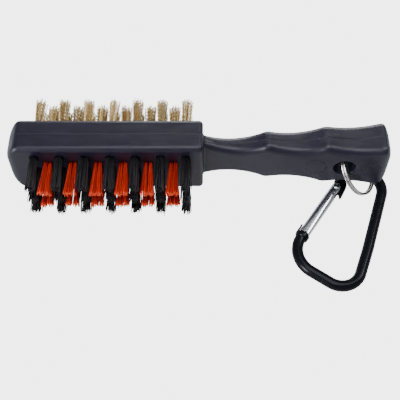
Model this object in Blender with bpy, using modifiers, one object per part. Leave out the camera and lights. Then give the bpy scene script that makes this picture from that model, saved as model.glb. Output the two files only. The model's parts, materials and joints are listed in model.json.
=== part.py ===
"""Club groove brush: a two-faced golf brush with its split ring and gated carabiner.

The brush lies on its side: nylon tufts point to -Y, brass tufts to +Y, the handle to +X.
Its handle rests on the carabiner's top bar, so the brush leans up by BRUSH_LEAN.
Brush-frame sizes are measured along X from near the middle of the head, Y through its
thickness from the mid-plane and Z up from the head's lower side.
"""
import math

import bmesh
import bpy
from mathutils import Matrix, Vector

# Head; its end is bowed across its width (dome) and across its thickness (bow)
NECK_X = 0.04725
HEAD_LENGTH = 0.09385
HEAD_THICKNESS = 0.0184
HEAD_WIDTH = 0.032
HEAD_EDGE_RADIUS = 0.0028
HEAD_END_RADIUS = 0.002
HEAD_DOME_DEPTH = 0.0062
HEAD_BOW_DEPTH = 0.0032
DOME_BLEND = 0.10
BOW_BLEND = 0.27

# Handle
HANDLE_LENGTH = 0.0896
HANDLE_EDGE_RADIUS = 0.0034
HANDLE_DOME_DEPTH = 0.0039
HANDLE_BOW_DEPTH = 0.0035
NECK_THICKNESS = 0.0070
GRIP_THICKNESS = 0.0188
TAPER_LENGTH = 0.086
TAPER_POWER = 0.85
ROOT_FILLET = 0.0012
# Finger scallops: where each starts and ends along the handle, the half widths there, the dip
SCALLOPS = (
    (0.0, 0.0303, 0.0122, 0.01275, 0.0039),
    (0.0303, 0.0579, 0.01275, 0.0141, 0.00295),
    (0.0579, 0.0840, 0.0141, 0.0143, 0.0020),
)
CUSP_ROUNDING = 0.0015
HOLE_RADIUS = 0.0053
HOLE_FROM_NECK = 0.06725
HOLE_CHAMFER = 0.0007

# Tufts
TUFT_ROWS = 5
ROW_PITCH = 0.00465
COLUMN_PITCH = 0.01184
FIRST_COLUMN_X = -0.03187
TUFT_HOLE_RADIUS = 0.00215
TUFT_HOLE_DEPTH = 0.0060
TUFT_ROOT_RADIUS = 0.00185
FIT_GAP = 0.0003
NYLON_LENGTH = 0.0172
NYLON_TIP_RADIUS = 0.0031
BRASS_LENGTH = 0.0158
BRASS_TIP_RADIUS = 0.0029
ANCHOR_BAR = 0.0012

# Split ring, placed in the brush frame
RING_RADIUS = 0.0147
RING_WIRE_RADIUS = 0.0006
RING_COIL_PITCH = 0.0013
RING_START = 100.0
RING_CENTRE = Vector((0.1236, 0.00118, 0.00549))
RING_AXIS = Vector((0.7591, -0.1895, 0.6228)).normalized()

# Carabiner, placed by its hinge rivet; its plane leans by CARABINER_LEAN
BAR_RADIUS = 0.0027
RIVET_POINT = Vector((0.11283, -0.00811, 0.00482))
CARABINER_LEAN = math.radians(2.2)
GATE_ANGLE = math.radians(-123.84)
GATE_LENGTH = 0.0313
GATE_RADIUS = 0.0026
NOSE_GAP = 0.0004
HINGE_END = 0.0030
NOSE_RADIUS = 0.0032
NOSE_LENGTH = 0.0026
LIP_THICKNESS = 0.0006
LIP_REACH = 0.0034
SLOT_HALF_WIDTH = 0.00115
SLOT_DEPTH = 0.0065
TONGUE_HALF_THICKNESS = 0.00085
BORE_RADIUS = 0.0013
BORE_END = 0.0192
RIVET_RADIUS = 0.0008
RIVET_HEAD_RADIUS = 0.0017
RIVET_SEAT = 0.0021

# Stance
BRUSH_LEAN = math.radians(2.3)
LEAN_PIVOT_X = -0.0450

HEAD_TIP_X = NECK_X - HEAD_LENGTH
HANDLE_TIP_X = NECK_X + HANDLE_LENGTH
MID_Z = HEAD_WIDTH / 2.0
HOLE_X = NECK_X + HOLE_FROM_NECK


def clear_scene():
    for item in list(bpy.data.objects):
        bpy.data.objects.remove(item, do_unlink=True)


def new_collection(name):
    collection = bpy.data.collections.new(name)
    bpy.context.scene.collection.children.link(collection)
    return collection


def new_material(name, colour, roughness, metallic):
    material = bpy.data.materials.new(name)
    material.use_nodes = True
    shader = material.node_tree.nodes["Principled BSDF"]
    shader.inputs["Base Color"].default_value = (*colour, 1.0)
    shader.inputs["Roughness"].default_value = roughness
    shader.inputs["Metallic"].default_value = metallic
    return material


def new_empty(name, parent, location=(0.0, 0.0, 0.0)):
    empty = bpy.data.objects.new(name, None)
    empty.location = location
    empty.parent = parent
    PARTS.objects.link(empty)
    return empty


def new_object(name, mesh, material, parent, matrix=None):
    """A part; matrix is its place under its parent."""
    item = bpy.data.objects.new(name, mesh)
    if not mesh.materials:
        mesh.materials.append(material)
    PARTS.objects.link(item)
    item.parent = parent
    if matrix is not None:
        item.matrix_local = matrix
    return item


def new_cutter(name, mesh, parent, matrix=None):
    cutter = bpy.data.objects.new(name, mesh)
    CUTTERS.objects.link(cutter)
    cutter.parent = parent
    if matrix is not None:
        cutter.matrix_local = matrix
    cutter.hide_render = True
    cutter.display_type = "WIRE"
    return cutter


def add_boolean(item, cutter, operation="DIFFERENCE"):
    modifier = item.modifiers.new(cutter.name, "BOOLEAN")
    modifier.operation = operation
    modifier.object = cutter
    modifier.solver = "EXACT"


def evaluated_mesh(item, name):
    """A copy of the item's mesh with its modifiers or its curve bevel applied, caps welded."""
    bpy.context.view_layer.update()
    graph = bpy.context.evaluated_depsgraph_get()
    mesh = bpy.data.meshes.new_from_object(item.evaluated_get(graph))
    mesh.name = name
    work = bmesh.new()
    work.from_mesh(mesh)
    bmesh.ops.remove_doubles(work, verts=work.verts, dist=0.000001)
    work.to_mesh(mesh)
    work.free()
    return mesh


def shade_round(mesh, angle=35.0):
    mesh.shade_smooth()
    mesh.set_sharp_from_angle(angle=math.radians(angle))


def box_mesh(name, boxes):
    """One mesh of separate boxes, each given by its centre and its size."""
    work = bmesh.new()
    for centre, size in boxes:
        place = Matrix.Translation(centre) @ Matrix.Diagonal((*size, 1.0))
        bmesh.ops.create_cube(work, size=1.0, matrix=place)
    mesh = bpy.data.meshes.new(name)
    work.to_mesh(mesh)
    work.free()
    return mesh


def cylinder_mesh(name, cylinders, segments):
    """One mesh of separate cylinders, each given by its middle, radius, length and turn."""
    work = bmesh.new()
    for middle, radius, length, turn in cylinders:
        bmesh.ops.create_cone(
            work, cap_ends=True, segments=segments, radius1=radius, radius2=radius,
            depth=length, matrix=Matrix.Translation(middle) @ turn)
    mesh = bpy.data.meshes.new(name)
    work.to_mesh(mesh)
    work.free()
    return mesh


def profile_mesh(name, points):
    """An open profile in the XZ plane, for a Screw modifier about Z."""
    mesh = bpy.data.meshes.new(name)
    edges = [(i, i + 1) for i in range(len(points) - 1)]
    mesh.from_pydata([(x, 0.0, z) for x, z in points], edges, [])
    return mesh


def add_screw(item, steps):
    screw = item.modifiers.new("turn", "SCREW")
    screw.axis = "Z"
    screw.steps = steps
    screw.render_steps = steps
    screw.use_merge_vertices = True
    screw.merge_threshold = 0.00001
    screw.use_smooth_shade = True


# ---------------------------------------------------------------- brush body


def smooth_min(a, b, blend):
    """The smaller of a and b, rounded off where they cross."""
    mix = max(blend - abs(a - b), 0.0) / blend
    return min(a, b) - mix * mix * blend * 0.25


def dome_half(depth, dome_depth, half, blend):
    """Half size of an end at a depth from its tip, along an arc that reaches half at dome_depth."""
    radius = (half * half + dome_depth * dome_depth) / (2.0 * dome_depth)
    if depth >= radius:
        return half
    arc = math.sqrt(max(2.0 * radius * depth - depth * depth, 0.0))
    if depth >= 2.0 * dome_depth:
        return half
    return min(smooth_min(arc, half, blend * half), half)


def scallop_half_width(along):
    """Half width of the handle at a distance from the neck: arcs that meet in cusps."""
    for start, end, half_start, half_end, dip in SCALLOPS:
        if along <= end:
            span = end - start
            radius = (span * span / 4.0 + dip * dip) / (2.0 * dip)
            off = along - (start + end) / 2.0
            chord = half_start + (half_end - half_start) * (along - start) / span
            return chord - (math.sqrt(radius * radius - off * off) - (radius - dip))
    return SCALLOPS[-1][3]


def rounded_half_width(along, samples=9):
    """The scalloped half width averaged over a short stretch, so that its cusps are round."""
    total = 0.0
    for sample in range(samples):
        offset = CUSP_ROUNDING * (2.0 * sample / (samples - 1) - 1.0)
        total += scallop_half_width(max(along + offset, 0.0))
    return total / samples


def handle_thickness(along):
    grown = (min(along, TAPER_LENGTH) / TAPER_LENGTH) ** TAPER_POWER
    return NECK_THICKNESS + (GRIP_THICKNESS - NECK_THICKNESS) * grown


def head_stations():
    """(x, half thickness, half width, corner radius) along the head, tip to end face."""
    half_y, half_z = HEAD_THICKNESS / 2.0, HEAD_WIDTH / 2.0
    for depth in (0.00012, 0.0006, 0.0014, 0.0025, 0.0037, 0.0050, 0.0063, 0.0078, 0.0092, 0.0120):
        y = dome_half(depth, HEAD_BOW_DEPTH, half_y, BOW_BLEND)
        z = dome_half(depth, HEAD_DOME_DEPTH, half_z, DOME_BLEND)
        yield HEAD_TIP_X + depth, y, z, min(HEAD_EDGE_RADIUS, 0.8 * y)
    for step in range(4):
        angle = math.radians(30.0 * step)
        inset = HEAD_END_RADIUS * (1.0 - math.cos(angle))
        x = NECK_X - HEAD_END_RADIUS * (1.0 - math.sin(angle))
        yield x, half_y - inset, half_z - inset, max(HEAD_EDGE_RADIUS - inset, 0.0006)


def handle_section(along):
    half_y = handle_thickness(along) / 2.0
    return half_y, rounded_half_width(along), min(HANDLE_EDGE_RADIUS, 0.72 * half_y)


def handle_distances(pieces=9):
    """Distances from the neck where the handle has a section, close together at the cusps."""
    distances = set()
    for start, end, _, _, _ in SCALLOPS:
        first = max(start, ROOT_FILLET)
        distances.update(first + (end - first) * step / pieces for step in range(1, pieces + 1))
        distances.update(end + CUSP_ROUNDING * share for share in (-1.0, -0.5, 0.5, 1.0))
    return sorted(distance for distance in distances if distance <= SCALLOPS[-1][1])


def handle_stations():
    """The same from the neck's fillet to the handle's tip."""
    for step in range(4):
        angle = math.radians(30.0 * step)
        along = ROOT_FILLET * (1.0 - math.cos(angle))
        flare = ROOT_FILLET * (1.0 - math.sin(angle))
        half_y, half_z, radius = handle_section(along)
        yield NECK_X + along, half_y + flare, half_z + flare, radius + flare
    for along in handle_distances():
        yield (NECK_X + along, *handle_section(along))
    half_y, half_z, radius = handle_section(HANDLE_LENGTH)
    for depth in (0.0047, 0.0037, 0.0025, 0.0014, 0.0006, 0.00012):
        y = dome_half(depth, HANDLE_BOW_DEPTH, half_y, BOW_BLEND)
        z = dome_half(depth, HANDLE_DOME_DEPTH, half_z, DOME_BLEND)
        yield HANDLE_TIP_X - depth, y, z, min(radius, 0.8 * y)


def section_loop(x, half_y, half_z, radius, corner_steps=3):
    """Rounded rectangle in a plane across the brush, centred on its mid-plane."""
    loop = []
    for corner, (side_y, side_z) in enumerate(((1, 1), (-1, 1), (-1, -1), (1, -1))):
        centre_y = side_y * (half_y - radius)
        centre_z = side_z * (half_z - radius)
        for step in range(corner_steps + 1):
            angle = math.radians(90.0 * corner + 90.0 * step / corner_steps)
            y = centre_y + radius * math.cos(angle)
            z = centre_z + radius * math.sin(angle)
            loop.append(Vector((x, y, MID_Z + z)))
    return loop


def loft_mesh(name, loops):
    """Closed skin through loops of equal length, capped at both ends."""
    work = bmesh.new()
    rings = [[work.verts.new(point) for point in loop] for loop in loops]
    for near, far in zip(rings, rings[1:]):
        count = len(near)
        for i in range(count):
            j = (i + 1) % count
            work.faces.new((near[i], near[j], far[j], far[i]))
    work.faces.new(list(reversed(rings[0])))
    work.faces.new(rings[-1])
    bmesh.ops.recalc_face_normals(work, faces=work.faces)
    mesh = bpy.data.meshes.new(name)
    work.to_mesh(mesh)
    work.free()
    return mesh


def tuft_columns():
    """(column number, x, rows) of one face: tall columns of 3 rows, short ones of 2 between."""
    for index in range(13):
        x = FIRST_COLUMN_X + COLUMN_PITCH / 2.0 * index
        rows = (0, 2, 4) if index % 2 == 0 else (1, 3)
        yield index, x, rows


def row_z(row):
    return MID_Z + (row - (TUFT_ROWS - 1) / 2.0) * ROW_PITCH


def build_body(parent, material):
    stations = [*head_stations(), *handle_stations()]
    mesh = loft_mesh("brush_body", [section_loop(*station) for station in stations])
    shade_round(mesh, 40.0)
    body = new_object("brush_body", mesh, material, parent)

    along_y = Matrix.Rotation(math.pi / 2.0, 4, "X")
    face = HEAD_THICKNESS / 2.0
    past = 0.002
    length = TUFT_HOLE_DEPTH + past
    tuft_holes = []
    channels = []
    for _, x, rows in tuft_columns():
        for row in rows:
            for side in (-1.0, 1.0):
                middle = Vector((x, side * (face - TUFT_HOLE_DEPTH + length / 2.0), row_z(row)))
                tuft_holes.append((middle, TUFT_HOLE_RADIUS, length, along_y))
        channel = ANCHOR_BAR + 2.0 * FIT_GAP
        middle = Vector((x, face - TUFT_HOLE_DEPTH + channel / 2.0 - 0.0001, MID_Z))
        reach = row_z(rows[-1]) - row_z(rows[0])
        channels.append((middle, (channel, channel, reach)))
    add_boolean(body, new_cutter("tuft_hole_cutter", cylinder_mesh("tuft_holes", tuft_holes, 8), parent))
    add_boolean(body, new_cutter("anchor_channel_cutter", box_mesh("channels", channels), parent))

    hole_length = 0.024
    hole_place = (Vector((HOLE_X, 0.0, MID_Z)), HOLE_RADIUS, hole_length, along_y)
    hole = cylinder_mesh("ring_hole", [hole_place], 24)
    add_boolean(body, new_cutter("ring_hole_cutter", hole, parent))
    add_rim_chamfers(body, parent)
    return body


def add_rim_chamfers(body, parent):
    """Cones that open both rims of the ring hole."""
    half_thickness = handle_thickness(HOLE_FROM_NECK) / 2.0
    reach = 0.001
    work = bmesh.new()
    for side in (-1.0, 1.0):
        turn = Matrix.Rotation(-side * math.pi / 2.0, 4, "X")
        middle_y = side * (half_thickness + (reach - HOLE_CHAMFER) / 2.0)
        place = Matrix.Translation((HOLE_X, middle_y, MID_Z))
        bmesh.ops.create_cone(
            work, cap_ends=True, segments=24, radius1=HOLE_RADIUS - 0.0001,
            radius2=HOLE_RADIUS + HOLE_CHAMFER + reach, depth=HOLE_CHAMFER + reach, matrix=place @ turn)
    mesh = bpy.data.meshes.new("rim_chamfers")
    work.to_mesh(mesh)
    work.free()
    add_boolean(body, new_cutter("rim_chamfer_cutter", mesh, parent))


# ---------------------------------------------------------------- tufts


def tuft_profile(length, tip_radius):
    """Outer side of a tuft from the middle of its tip to the middle of its root."""
    root_end = -(TUFT_HOLE_DEPTH - FIT_GAP)
    return [
        (0.0, length),
        (tip_radius, length - 0.0004),
        (TUFT_ROOT_RADIUS, 0.0015),
        (TUFT_ROOT_RADIUS, root_end),
        (0.0, root_end),
    ]


def build_nylon(parent, black, orange):
    """One node for each tuft of the nylon face, its origin where it leaves the body."""
    mesh_black = profile_mesh("nylon_black", tuft_profile(NYLON_LENGTH, NYLON_TIP_RADIUS))
    mesh_orange = profile_mesh("nylon_orange", tuft_profile(NYLON_LENGTH, NYLON_TIP_RADIUS))
    turn = Matrix.Rotation(math.pi / 2.0, 4, "X")
    for index, x, rows in tuft_columns():
        tall = index % 2 == 0
        for row in rows:
            name = f"nylon_tuft_{'black' if tall else 'orange'}_{index + 1:02d}_{row + 1}"
            place = Matrix.Translation((x, -HEAD_THICKNESS / 2.0, row_z(row))) @ turn
            mesh = mesh_black if tall else mesh_orange
            tuft = new_object(name, mesh, black if tall else orange, parent, place)
            add_screw(tuft, 8)


def brass_column_mesh(rows):
    """The brass tufts of one column, joined by the bar that anchors their roots."""
    one_tuft = profile_mesh("tuft", tuft_profile(BRASS_LENGTH, BRASS_TIP_RADIUS))
    tufts = bpy.data.objects.new("column_tufts", one_tuft)
    CUTTERS.objects.link(tufts)
    add_screw(tufts, 8)
    single = evaluated_mesh(tufts, "single_tuft")
    bpy.data.objects.remove(tufts)

    work = bmesh.new()
    for row in rows:
        start = len(work.verts)
        work.from_mesh(single)
        work.verts.ensure_lookup_table()
        bmesh.ops.translate(work, verts=work.verts[start:], vec=(0.0, row_z(row) - MID_Z, 0.0))
    group = bpy.data.meshes.new("tuft_group")
    work.to_mesh(group)
    work.free()

    reach = row_z(rows[-1]) - row_z(rows[0])
    bar_z = -(TUFT_HOLE_DEPTH - FIT_GAP) + ANCHOR_BAR / 2.0 + 0.0001
    bar_box = (Vector((0.0, 0.0, bar_z)), (ANCHOR_BAR, reach, ANCHOR_BAR))
    bar = bpy.data.objects.new("bar", box_mesh("bar", [bar_box]))
    PARTS.objects.link(bar)
    guide = new_cutter("group", group, None)
    add_boolean(bar, guide, "UNION")
    mesh = evaluated_mesh(bar, f"brass_column_{len(rows)}")
    bpy.data.objects.remove(bar)
    bpy.data.objects.remove(guide)
    shade_round(mesh)
    return mesh


def build_brass(parent, brass):
    """One node for each column of the brass face."""
    meshes = {rows: brass_column_mesh(rows) for rows in ((0, 2, 4), (1, 3))}
    turn = Matrix.Rotation(-math.pi / 2.0, 4, "X")
    for index, x, rows in tuft_columns():
        place = Matrix.Translation((x, HEAD_THICKNESS / 2.0, MID_Z)) @ turn
        new_object(f"brass_tufts_{index + 1:02d}", meshes[rows], brass, parent, place)


# ---------------------------------------------------------------- split ring


def axis_matrix(centre, axis):
    """A frame at centre whose Z runs along axis and whose X is level."""
    side = Vector((0.0, 0.0, 1.0)).cross(axis).normalized()
    up = axis.cross(side)
    return Matrix((
        (side.x, up.x, axis.x, centre.x),
        (side.y, up.y, axis.y, centre.y),
        (side.z, up.z, axis.z, centre.z),
        (0.0, 0.0, 0.0, 1.0)))


def wire_object(name, points, radius, sides_level):
    """A curve of straight pieces through the points, with a round bevel and filled caps."""
    curve = bpy.data.curves.new(name, "CURVE")
    curve.dimensions = "3D"
    curve.bevel_depth = radius
    curve.bevel_resolution = sides_level
    curve.use_fill_caps = True
    spline = curve.splines.new("POLY")
    spline.points.add(len(points) - 1)
    for slot, point in zip(spline.points, points):
        slot.co = (*point, 1.0)
    return bpy.data.objects.new(name, curve)


def helix(radius, turns, pitch, per_turn, start_angle=0.0, rise=0.0):
    count = int(round(turns * per_turn))
    for step in range(count + 1):
        turn = turns * step / count
        angle = start_angle + 2.0 * math.pi * turn
        yield Vector((radius * math.cos(angle), radius * math.sin(angle), rise + pitch * turn))


def ring_points(per_turn=30):
    """Two flat coils side by side, with a short ramp from one to the other."""
    ramp_start, ramp_end = 330.0, 360.0
    last = ramp_end + ramp_start
    count = int(round(last / 360.0 * per_turn))
    for step in range(count + 1):
        degrees = last * step / count
        ramp = min(max((degrees - ramp_start) / (ramp_end - ramp_start), 0.0), 1.0)
        angle = math.radians(degrees + RING_START)
        level = (ramp - 0.5) * RING_COIL_PITCH
        yield Vector((RING_RADIUS * math.cos(angle), RING_RADIUS * math.sin(angle), level))


def build_ring(matrix, parent, material):
    ring = wire_object("split_ring", list(ring_points()), RING_WIRE_RADIUS, 2)
    PARTS.objects.link(ring)
    ring.data.materials.append(material)
    ring.parent = parent
    ring.matrix_local = matrix


# ---------------------------------------------------------------- carabiner


def gate_point(along, across=0.0):
    """A point in the carabiner's plane: along the gate from the rivet, across it to the inside."""
    x = along * math.cos(GATE_ANGLE) - across * math.sin(GATE_ANGLE)
    y = along * math.sin(GATE_ANGLE) + across * math.cos(GATE_ANGLE)
    return Vector((x, y, 0.0))


def filleted_path(corners, step_angle=14.0):
    """Points of a line through corners given as (point, radius), with arcs at the corners."""
    path = [corners[0][0]]
    for (before, _), (corner, radius), (after, _) in zip(corners, corners[1:], corners[2:]):
        back = (before - corner).normalized()
        ahead = (after - corner).normalized()
        opening = back.angle(ahead)
        middle = corner + (back + ahead).normalized() * (radius / math.sin(opening / 2.0))
        first = corner + back * (radius / math.tan(opening / 2.0))
        sweep = math.pi - opening
        sign = 1.0 if back.cross(ahead).z < 0.0 else -1.0
        pieces = max(int(round(math.degrees(sweep) / step_angle)), 1)
        for step in range(pieces + 1):
            turn = Matrix.Rotation(sign * sweep * step / pieces, 4, "Z")
            path.append(middle + turn @ (first - middle))
    path.append(corners[-1][0])
    return path


def bar_path():
    """Centre line of the bent bar, from its nose round to the hinge."""
    corners = [
        (gate_point(GATE_LENGTH + NOSE_GAP), 0.0),
        (Vector((-0.0278, -0.0375, 0.0)), 0.0127),
        (Vector((0.0035, -0.0580, 0.0)), 0.0098),
        (Vector((0.0124, -0.0338, 0.0)), 0.0600),
        (Vector((0.0310, 0.0235, 0.0)), 0.0106),
        (gate_point(-0.0100), 0.0045),
        (gate_point(-HINGE_END), 0.0),
    ]
    return filleted_path(corners)


def curve_to_mesh(item, name):
    mesh = evaluated_mesh(item, name)
    bpy.data.curves.remove(item.data)
    return mesh


def build_frame_bar(parent, material):
    """The bent bar with its nose, lip and hinge tongue, joined into one piece."""
    guide = wire_object("bar_guide", bar_path(), BAR_RADIUS, 4)
    PARTS.objects.link(guide)
    mesh = curve_to_mesh(guide, "carabiner_bar")
    bar = new_object("carabiner_bar", mesh, material, parent)

    face = GATE_LENGTH + NOSE_GAP
    middle = Vector((0.0, 0.0, face - 0.00001 + NOSE_LENGTH / 2.0))
    nose = cylinder_mesh("nose", [(middle, NOSE_RADIUS, NOSE_LENGTH, Matrix())], 20)
    add_boolean(bar, new_cutter("nose_guide", nose, parent, along_gate_matrix()), "UNION")

    across_gate = Matrix.Rotation(GATE_ANGLE, 4, "Z")
    lip_length = LIP_REACH + NOSE_GAP + NOSE_LENGTH * 0.6
    lip_across = -(GATE_RADIUS + FIT_GAP + LIP_THICKNESS / 2.0)
    lip_centre = Vector((GATE_LENGTH - LIP_REACH + lip_length / 2.0, lip_across, 0.0))
    lip = box_mesh("nose_lip", [(lip_centre, (lip_length, LIP_THICKNESS, 0.0030))])
    add_boolean(bar, new_cutter("nose_lip_guide", lip, parent, across_gate), "UNION")

    tongue = flat_mesh("hinge_tongue", tongue_outline(), TONGUE_HALF_THICKNESS)
    add_boolean(bar, new_cutter("tongue_guide", tongue, parent, across_gate), "UNION")
    eye = cylinder_mesh("tongue_eye", [(Vector(), RIVET_RADIUS + 0.0002, 0.004, Matrix())], 16)
    add_boolean(bar, new_cutter("tongue_eye_cutter", eye, parent))


def tongue_outline():
    """Outline in gate axes (X along the gate, Y to the inside): neck, eye and tail."""
    eye = 0.0021
    points = [(-0.0062, 0.0022), (-0.0060, -0.0022), (-0.0026, -0.0024), (-0.0012, -0.0019)]
    for degrees in (-75.0, -45.0, -15.0, 15.0):
        angle = math.radians(degrees)
        points.append((eye * math.cos(angle), eye * math.sin(angle)))
    points += [(0.0026, 0.0031), (0.0038, 0.0038), (0.0040, 0.0046), (0.0031, 0.0049)]
    points += [(-0.0004, 0.0045), (-0.0033, 0.0041), (-0.0048, 0.0034)]
    return [Vector(point) for point in points]


def flat_mesh(name, outline, half_thickness):
    """A flat plate: a filled 2D outline extruded both ways."""
    curve = bpy.data.curves.new(name, "CURVE")
    curve.dimensions = "2D"
    curve.fill_mode = "BOTH"
    curve.extrude = half_thickness
    spline = curve.splines.new("POLY")
    spline.points.add(len(outline) - 1)
    for slot, point in zip(spline.points, outline):
        slot.co = (point.x, point.y, 0.0, 1.0)
    spline.use_cyclic_u = True
    item = bpy.data.objects.new(name, curve)
    CUTTERS.objects.link(item)
    return curve_to_mesh(item, name)


def along_gate_matrix():
    """Turns a piece made along Z so that it runs along the gate."""
    return Matrix.Rotation(GATE_ANGLE, 4, "Z") @ Matrix.Rotation(math.pi / 2.0, 4, "Y")


def build_gate(parent, material):
    """Round gate: a ball end at the rivet, a slot for the tongue and a bore for the spring."""
    profile = []
    for step in range(6):
        angle = math.radians(18.0 * step)
        profile.append((GATE_RADIUS * math.sin(angle), -GATE_RADIUS * math.cos(angle)))
    chamfer = 0.0003
    profile += [
        (GATE_RADIUS, GATE_LENGTH - chamfer),
        (GATE_RADIUS - chamfer, GATE_LENGTH),
        (0.0, GATE_LENGTH),
    ]
    profile.reverse()
    gate = new_object("gate", profile_mesh("gate", profile), material, parent, along_gate_matrix())
    add_screw(gate, 20)
    turn = Matrix.Rotation(GATE_ANGLE, 4, "Z")
    slot_size = (SLOT_DEPTH + 0.004, 0.006, 2.0 * SLOT_HALF_WIDTH)
    slot_centre = Vector((SLOT_DEPTH - slot_size[0] / 2.0, 0.0, 0.0))
    slot = box_mesh("gate_slot", [(slot_centre, slot_size)])
    add_boolean(gate, new_cutter("gate_slot_cutter", slot, parent, turn))
    bore_start = SLOT_DEPTH - 0.0005
    bore_length = BORE_END - bore_start
    bore_centre = Vector((0.0, 0.0, bore_start + bore_length / 2.0))
    bore = cylinder_mesh("gate_bore", [(bore_centre, BORE_RADIUS, bore_length, Matrix())], 16)
    add_boolean(gate, new_cutter("gate_bore_cutter", bore, parent, along_gate_matrix()))
    gap = 0.0001
    hole, seat, past = RIVET_RADIUS + gap, RIVET_HEAD_RADIUS + 2.0 * gap, 0.0040
    profile = [(0.0, past), (seat, past), (seat, RIVET_SEAT), (hole, RIVET_SEAT)]
    profile += [(x, -z) for x, z in reversed(profile)]
    cutter = new_cutter("rivet_hole_cutter", profile_mesh("rivet_hole", profile), parent)
    add_screw(cutter, 16)
    add_boolean(gate, cutter)


def build_rivet(parent, material):
    """Hinge rivet with a low dome at each end."""
    head_z, head_height = RIVET_SEAT + 0.00005, 0.0007
    profile = [
        (0.0, head_z + head_height),
        (RIVET_HEAD_RADIUS * 0.6, head_z + head_height * 0.85),
        (RIVET_HEAD_RADIUS, head_z + head_height * 0.3),
        (RIVET_HEAD_RADIUS, head_z),
        (RIVET_RADIUS, head_z),
    ]
    profile += [(x, -z) for x, z in reversed(profile)]
    rivet = new_object("gate_rivet", profile_mesh("gate_rivet", profile), material, parent)
    add_screw(rivet, 16)


def build_plunger(parent, material):
    """Plunger that the spring presses against the tongue."""
    start, end = SLOT_DEPTH + 0.0002, SLOT_DEPTH + 0.0030
    radius = BORE_RADIUS - 0.0002
    profile = [(0.0, end), (radius, end), (radius, start + 0.0006), (radius * 0.6, start), (0.0, start)]
    mesh = profile_mesh("gate_plunger", profile)
    plunger = new_object("gate_plunger", mesh, material, parent, along_gate_matrix())
    add_screw(plunger, 12)


def build_spring(parent, material):
    """Compression spring in the gate's bore, between the plunger and the blind end."""
    wire, turns = 0.0002, 6
    start = SLOT_DEPTH + 0.0030 + wire + 0.0002
    end = BORE_END - wire - 0.0002
    radius = BORE_RADIUS - wire - 0.0002
    points = list(helix(radius, turns, (end - start) / turns, 10, 0.0, start))
    spring = wire_object("gate_spring", points, wire, 1)
    PARTS.objects.link(spring)
    spring.data.materials.append(material)
    spring.parent = parent
    spring.matrix_local = along_gate_matrix()


# ---------------------------------------------------------------- assembly


def centre_on_floor(root):
    """Moves the whole part so that its box stands on the origin, centred in X and Y."""
    bpy.context.view_layer.update()
    graph = bpy.context.evaluated_depsgraph_get()
    low = Vector((1.0, 1.0, 1.0))
    high = Vector((-1.0, -1.0, -1.0))
    for item in PARTS.objects:
        if item.type not in {"MESH", "CURVE"}:
            continue
        shape = item.evaluated_get(graph)
        mesh = shape.to_mesh()
        for vertex in mesh.vertices:
            point = shape.matrix_world @ vertex.co
            low = Vector(map(min, low, point))
            high = Vector(map(max, high, point))
        shape.to_mesh_clear()
    root.location = (-(low.x + high.x) / 2.0, -(low.y + high.y) / 2.0, -low.z)
    bpy.context.view_layer.update()


def build():
    plastic = new_material("charcoal_plastic", (0.045, 0.045, 0.055), 0.45, 0.0)
    black_nylon = new_material("black_nylon", (0.012, 0.012, 0.013), 0.5, 0.0)
    orange_nylon = new_material("orange_nylon", (0.56, 0.055, 0.012), 0.45, 0.0)
    brass = new_material("brass_wire", (0.60, 0.44, 0.22), 0.35, 1.0)
    steel = new_material("ring_steel", (0.62, 0.60, 0.57), 0.25, 1.0)
    anodised = new_material("black_anodised", (0.012, 0.012, 0.014), 0.28, 0.4)
    aluminium = new_material("bright_aluminium", (0.80, 0.81, 0.84), 0.22, 1.0)

    root = new_empty("club_brush", None)
    brush = new_empty("brush_pose", root, (LEAN_PIVOT_X, 0.0, 0.0))
    brush.rotation_euler = (0.0, -BRUSH_LEAN, 0.0)
    brush_origin = new_empty("brush_frame", brush, (-LEAN_PIVOT_X, 0.0, 0.0))
    build_body(brush_origin, plastic)
    build_nylon(brush_origin, black_nylon, orange_nylon)
    build_brass(brush_origin, brass)

    ring_pivot = new_empty("ring_pivot", brush_origin, (HOLE_X, 0.0, MID_Z))
    to_pivot = Matrix.Translation(-ring_pivot.location)
    build_ring(to_pivot @ axis_matrix(RING_CENTRE, RING_AXIS), ring_pivot, steel)

    carabiner = new_empty("carabiner_pose", root, RIVET_POINT)
    carabiner.rotation_euler = (CARABINER_LEAN, 0.0, 0.0)
    build_frame_bar(carabiner, anodised)
    gate_pivot = new_empty("gate_pivot", carabiner)
    build_gate(gate_pivot, aluminium)
    build_rivet(gate_pivot, steel)
    build_plunger(gate_pivot, steel)
    build_spring(gate_pivot, steel)
    centre_on_floor(root)


clear_scene()
PARTS = new_collection("club_groove_brush")
CUTTERS = new_collection("cutters")
build()
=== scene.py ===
"""Looks of the club groove brush: filaments, wires, moulding, clip and ring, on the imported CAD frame."""
import json
import math
import random

import bmesh
import bpy
from mathutils import Matrix, Vector


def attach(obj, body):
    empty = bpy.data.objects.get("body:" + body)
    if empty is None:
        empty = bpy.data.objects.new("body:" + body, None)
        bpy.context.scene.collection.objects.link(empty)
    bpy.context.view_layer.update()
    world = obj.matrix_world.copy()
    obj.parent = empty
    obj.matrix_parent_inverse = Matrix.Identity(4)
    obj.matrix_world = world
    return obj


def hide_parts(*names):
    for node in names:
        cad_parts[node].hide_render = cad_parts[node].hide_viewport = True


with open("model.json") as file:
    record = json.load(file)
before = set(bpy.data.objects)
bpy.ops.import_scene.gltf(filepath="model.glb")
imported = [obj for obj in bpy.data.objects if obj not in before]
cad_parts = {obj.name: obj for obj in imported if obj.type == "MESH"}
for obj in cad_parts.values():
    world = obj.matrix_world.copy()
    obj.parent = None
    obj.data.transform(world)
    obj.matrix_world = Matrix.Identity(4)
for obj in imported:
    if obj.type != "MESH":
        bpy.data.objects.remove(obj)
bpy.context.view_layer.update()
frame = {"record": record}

# Brush frame, in metres: X along the brush from near the middle of its head, Z up from its lower side
NECK_X, HEAD_LENGTH, HEAD_THICKNESS, HEAD_WIDTH = 0.04725, 0.09385, 0.0184, 0.032
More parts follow.
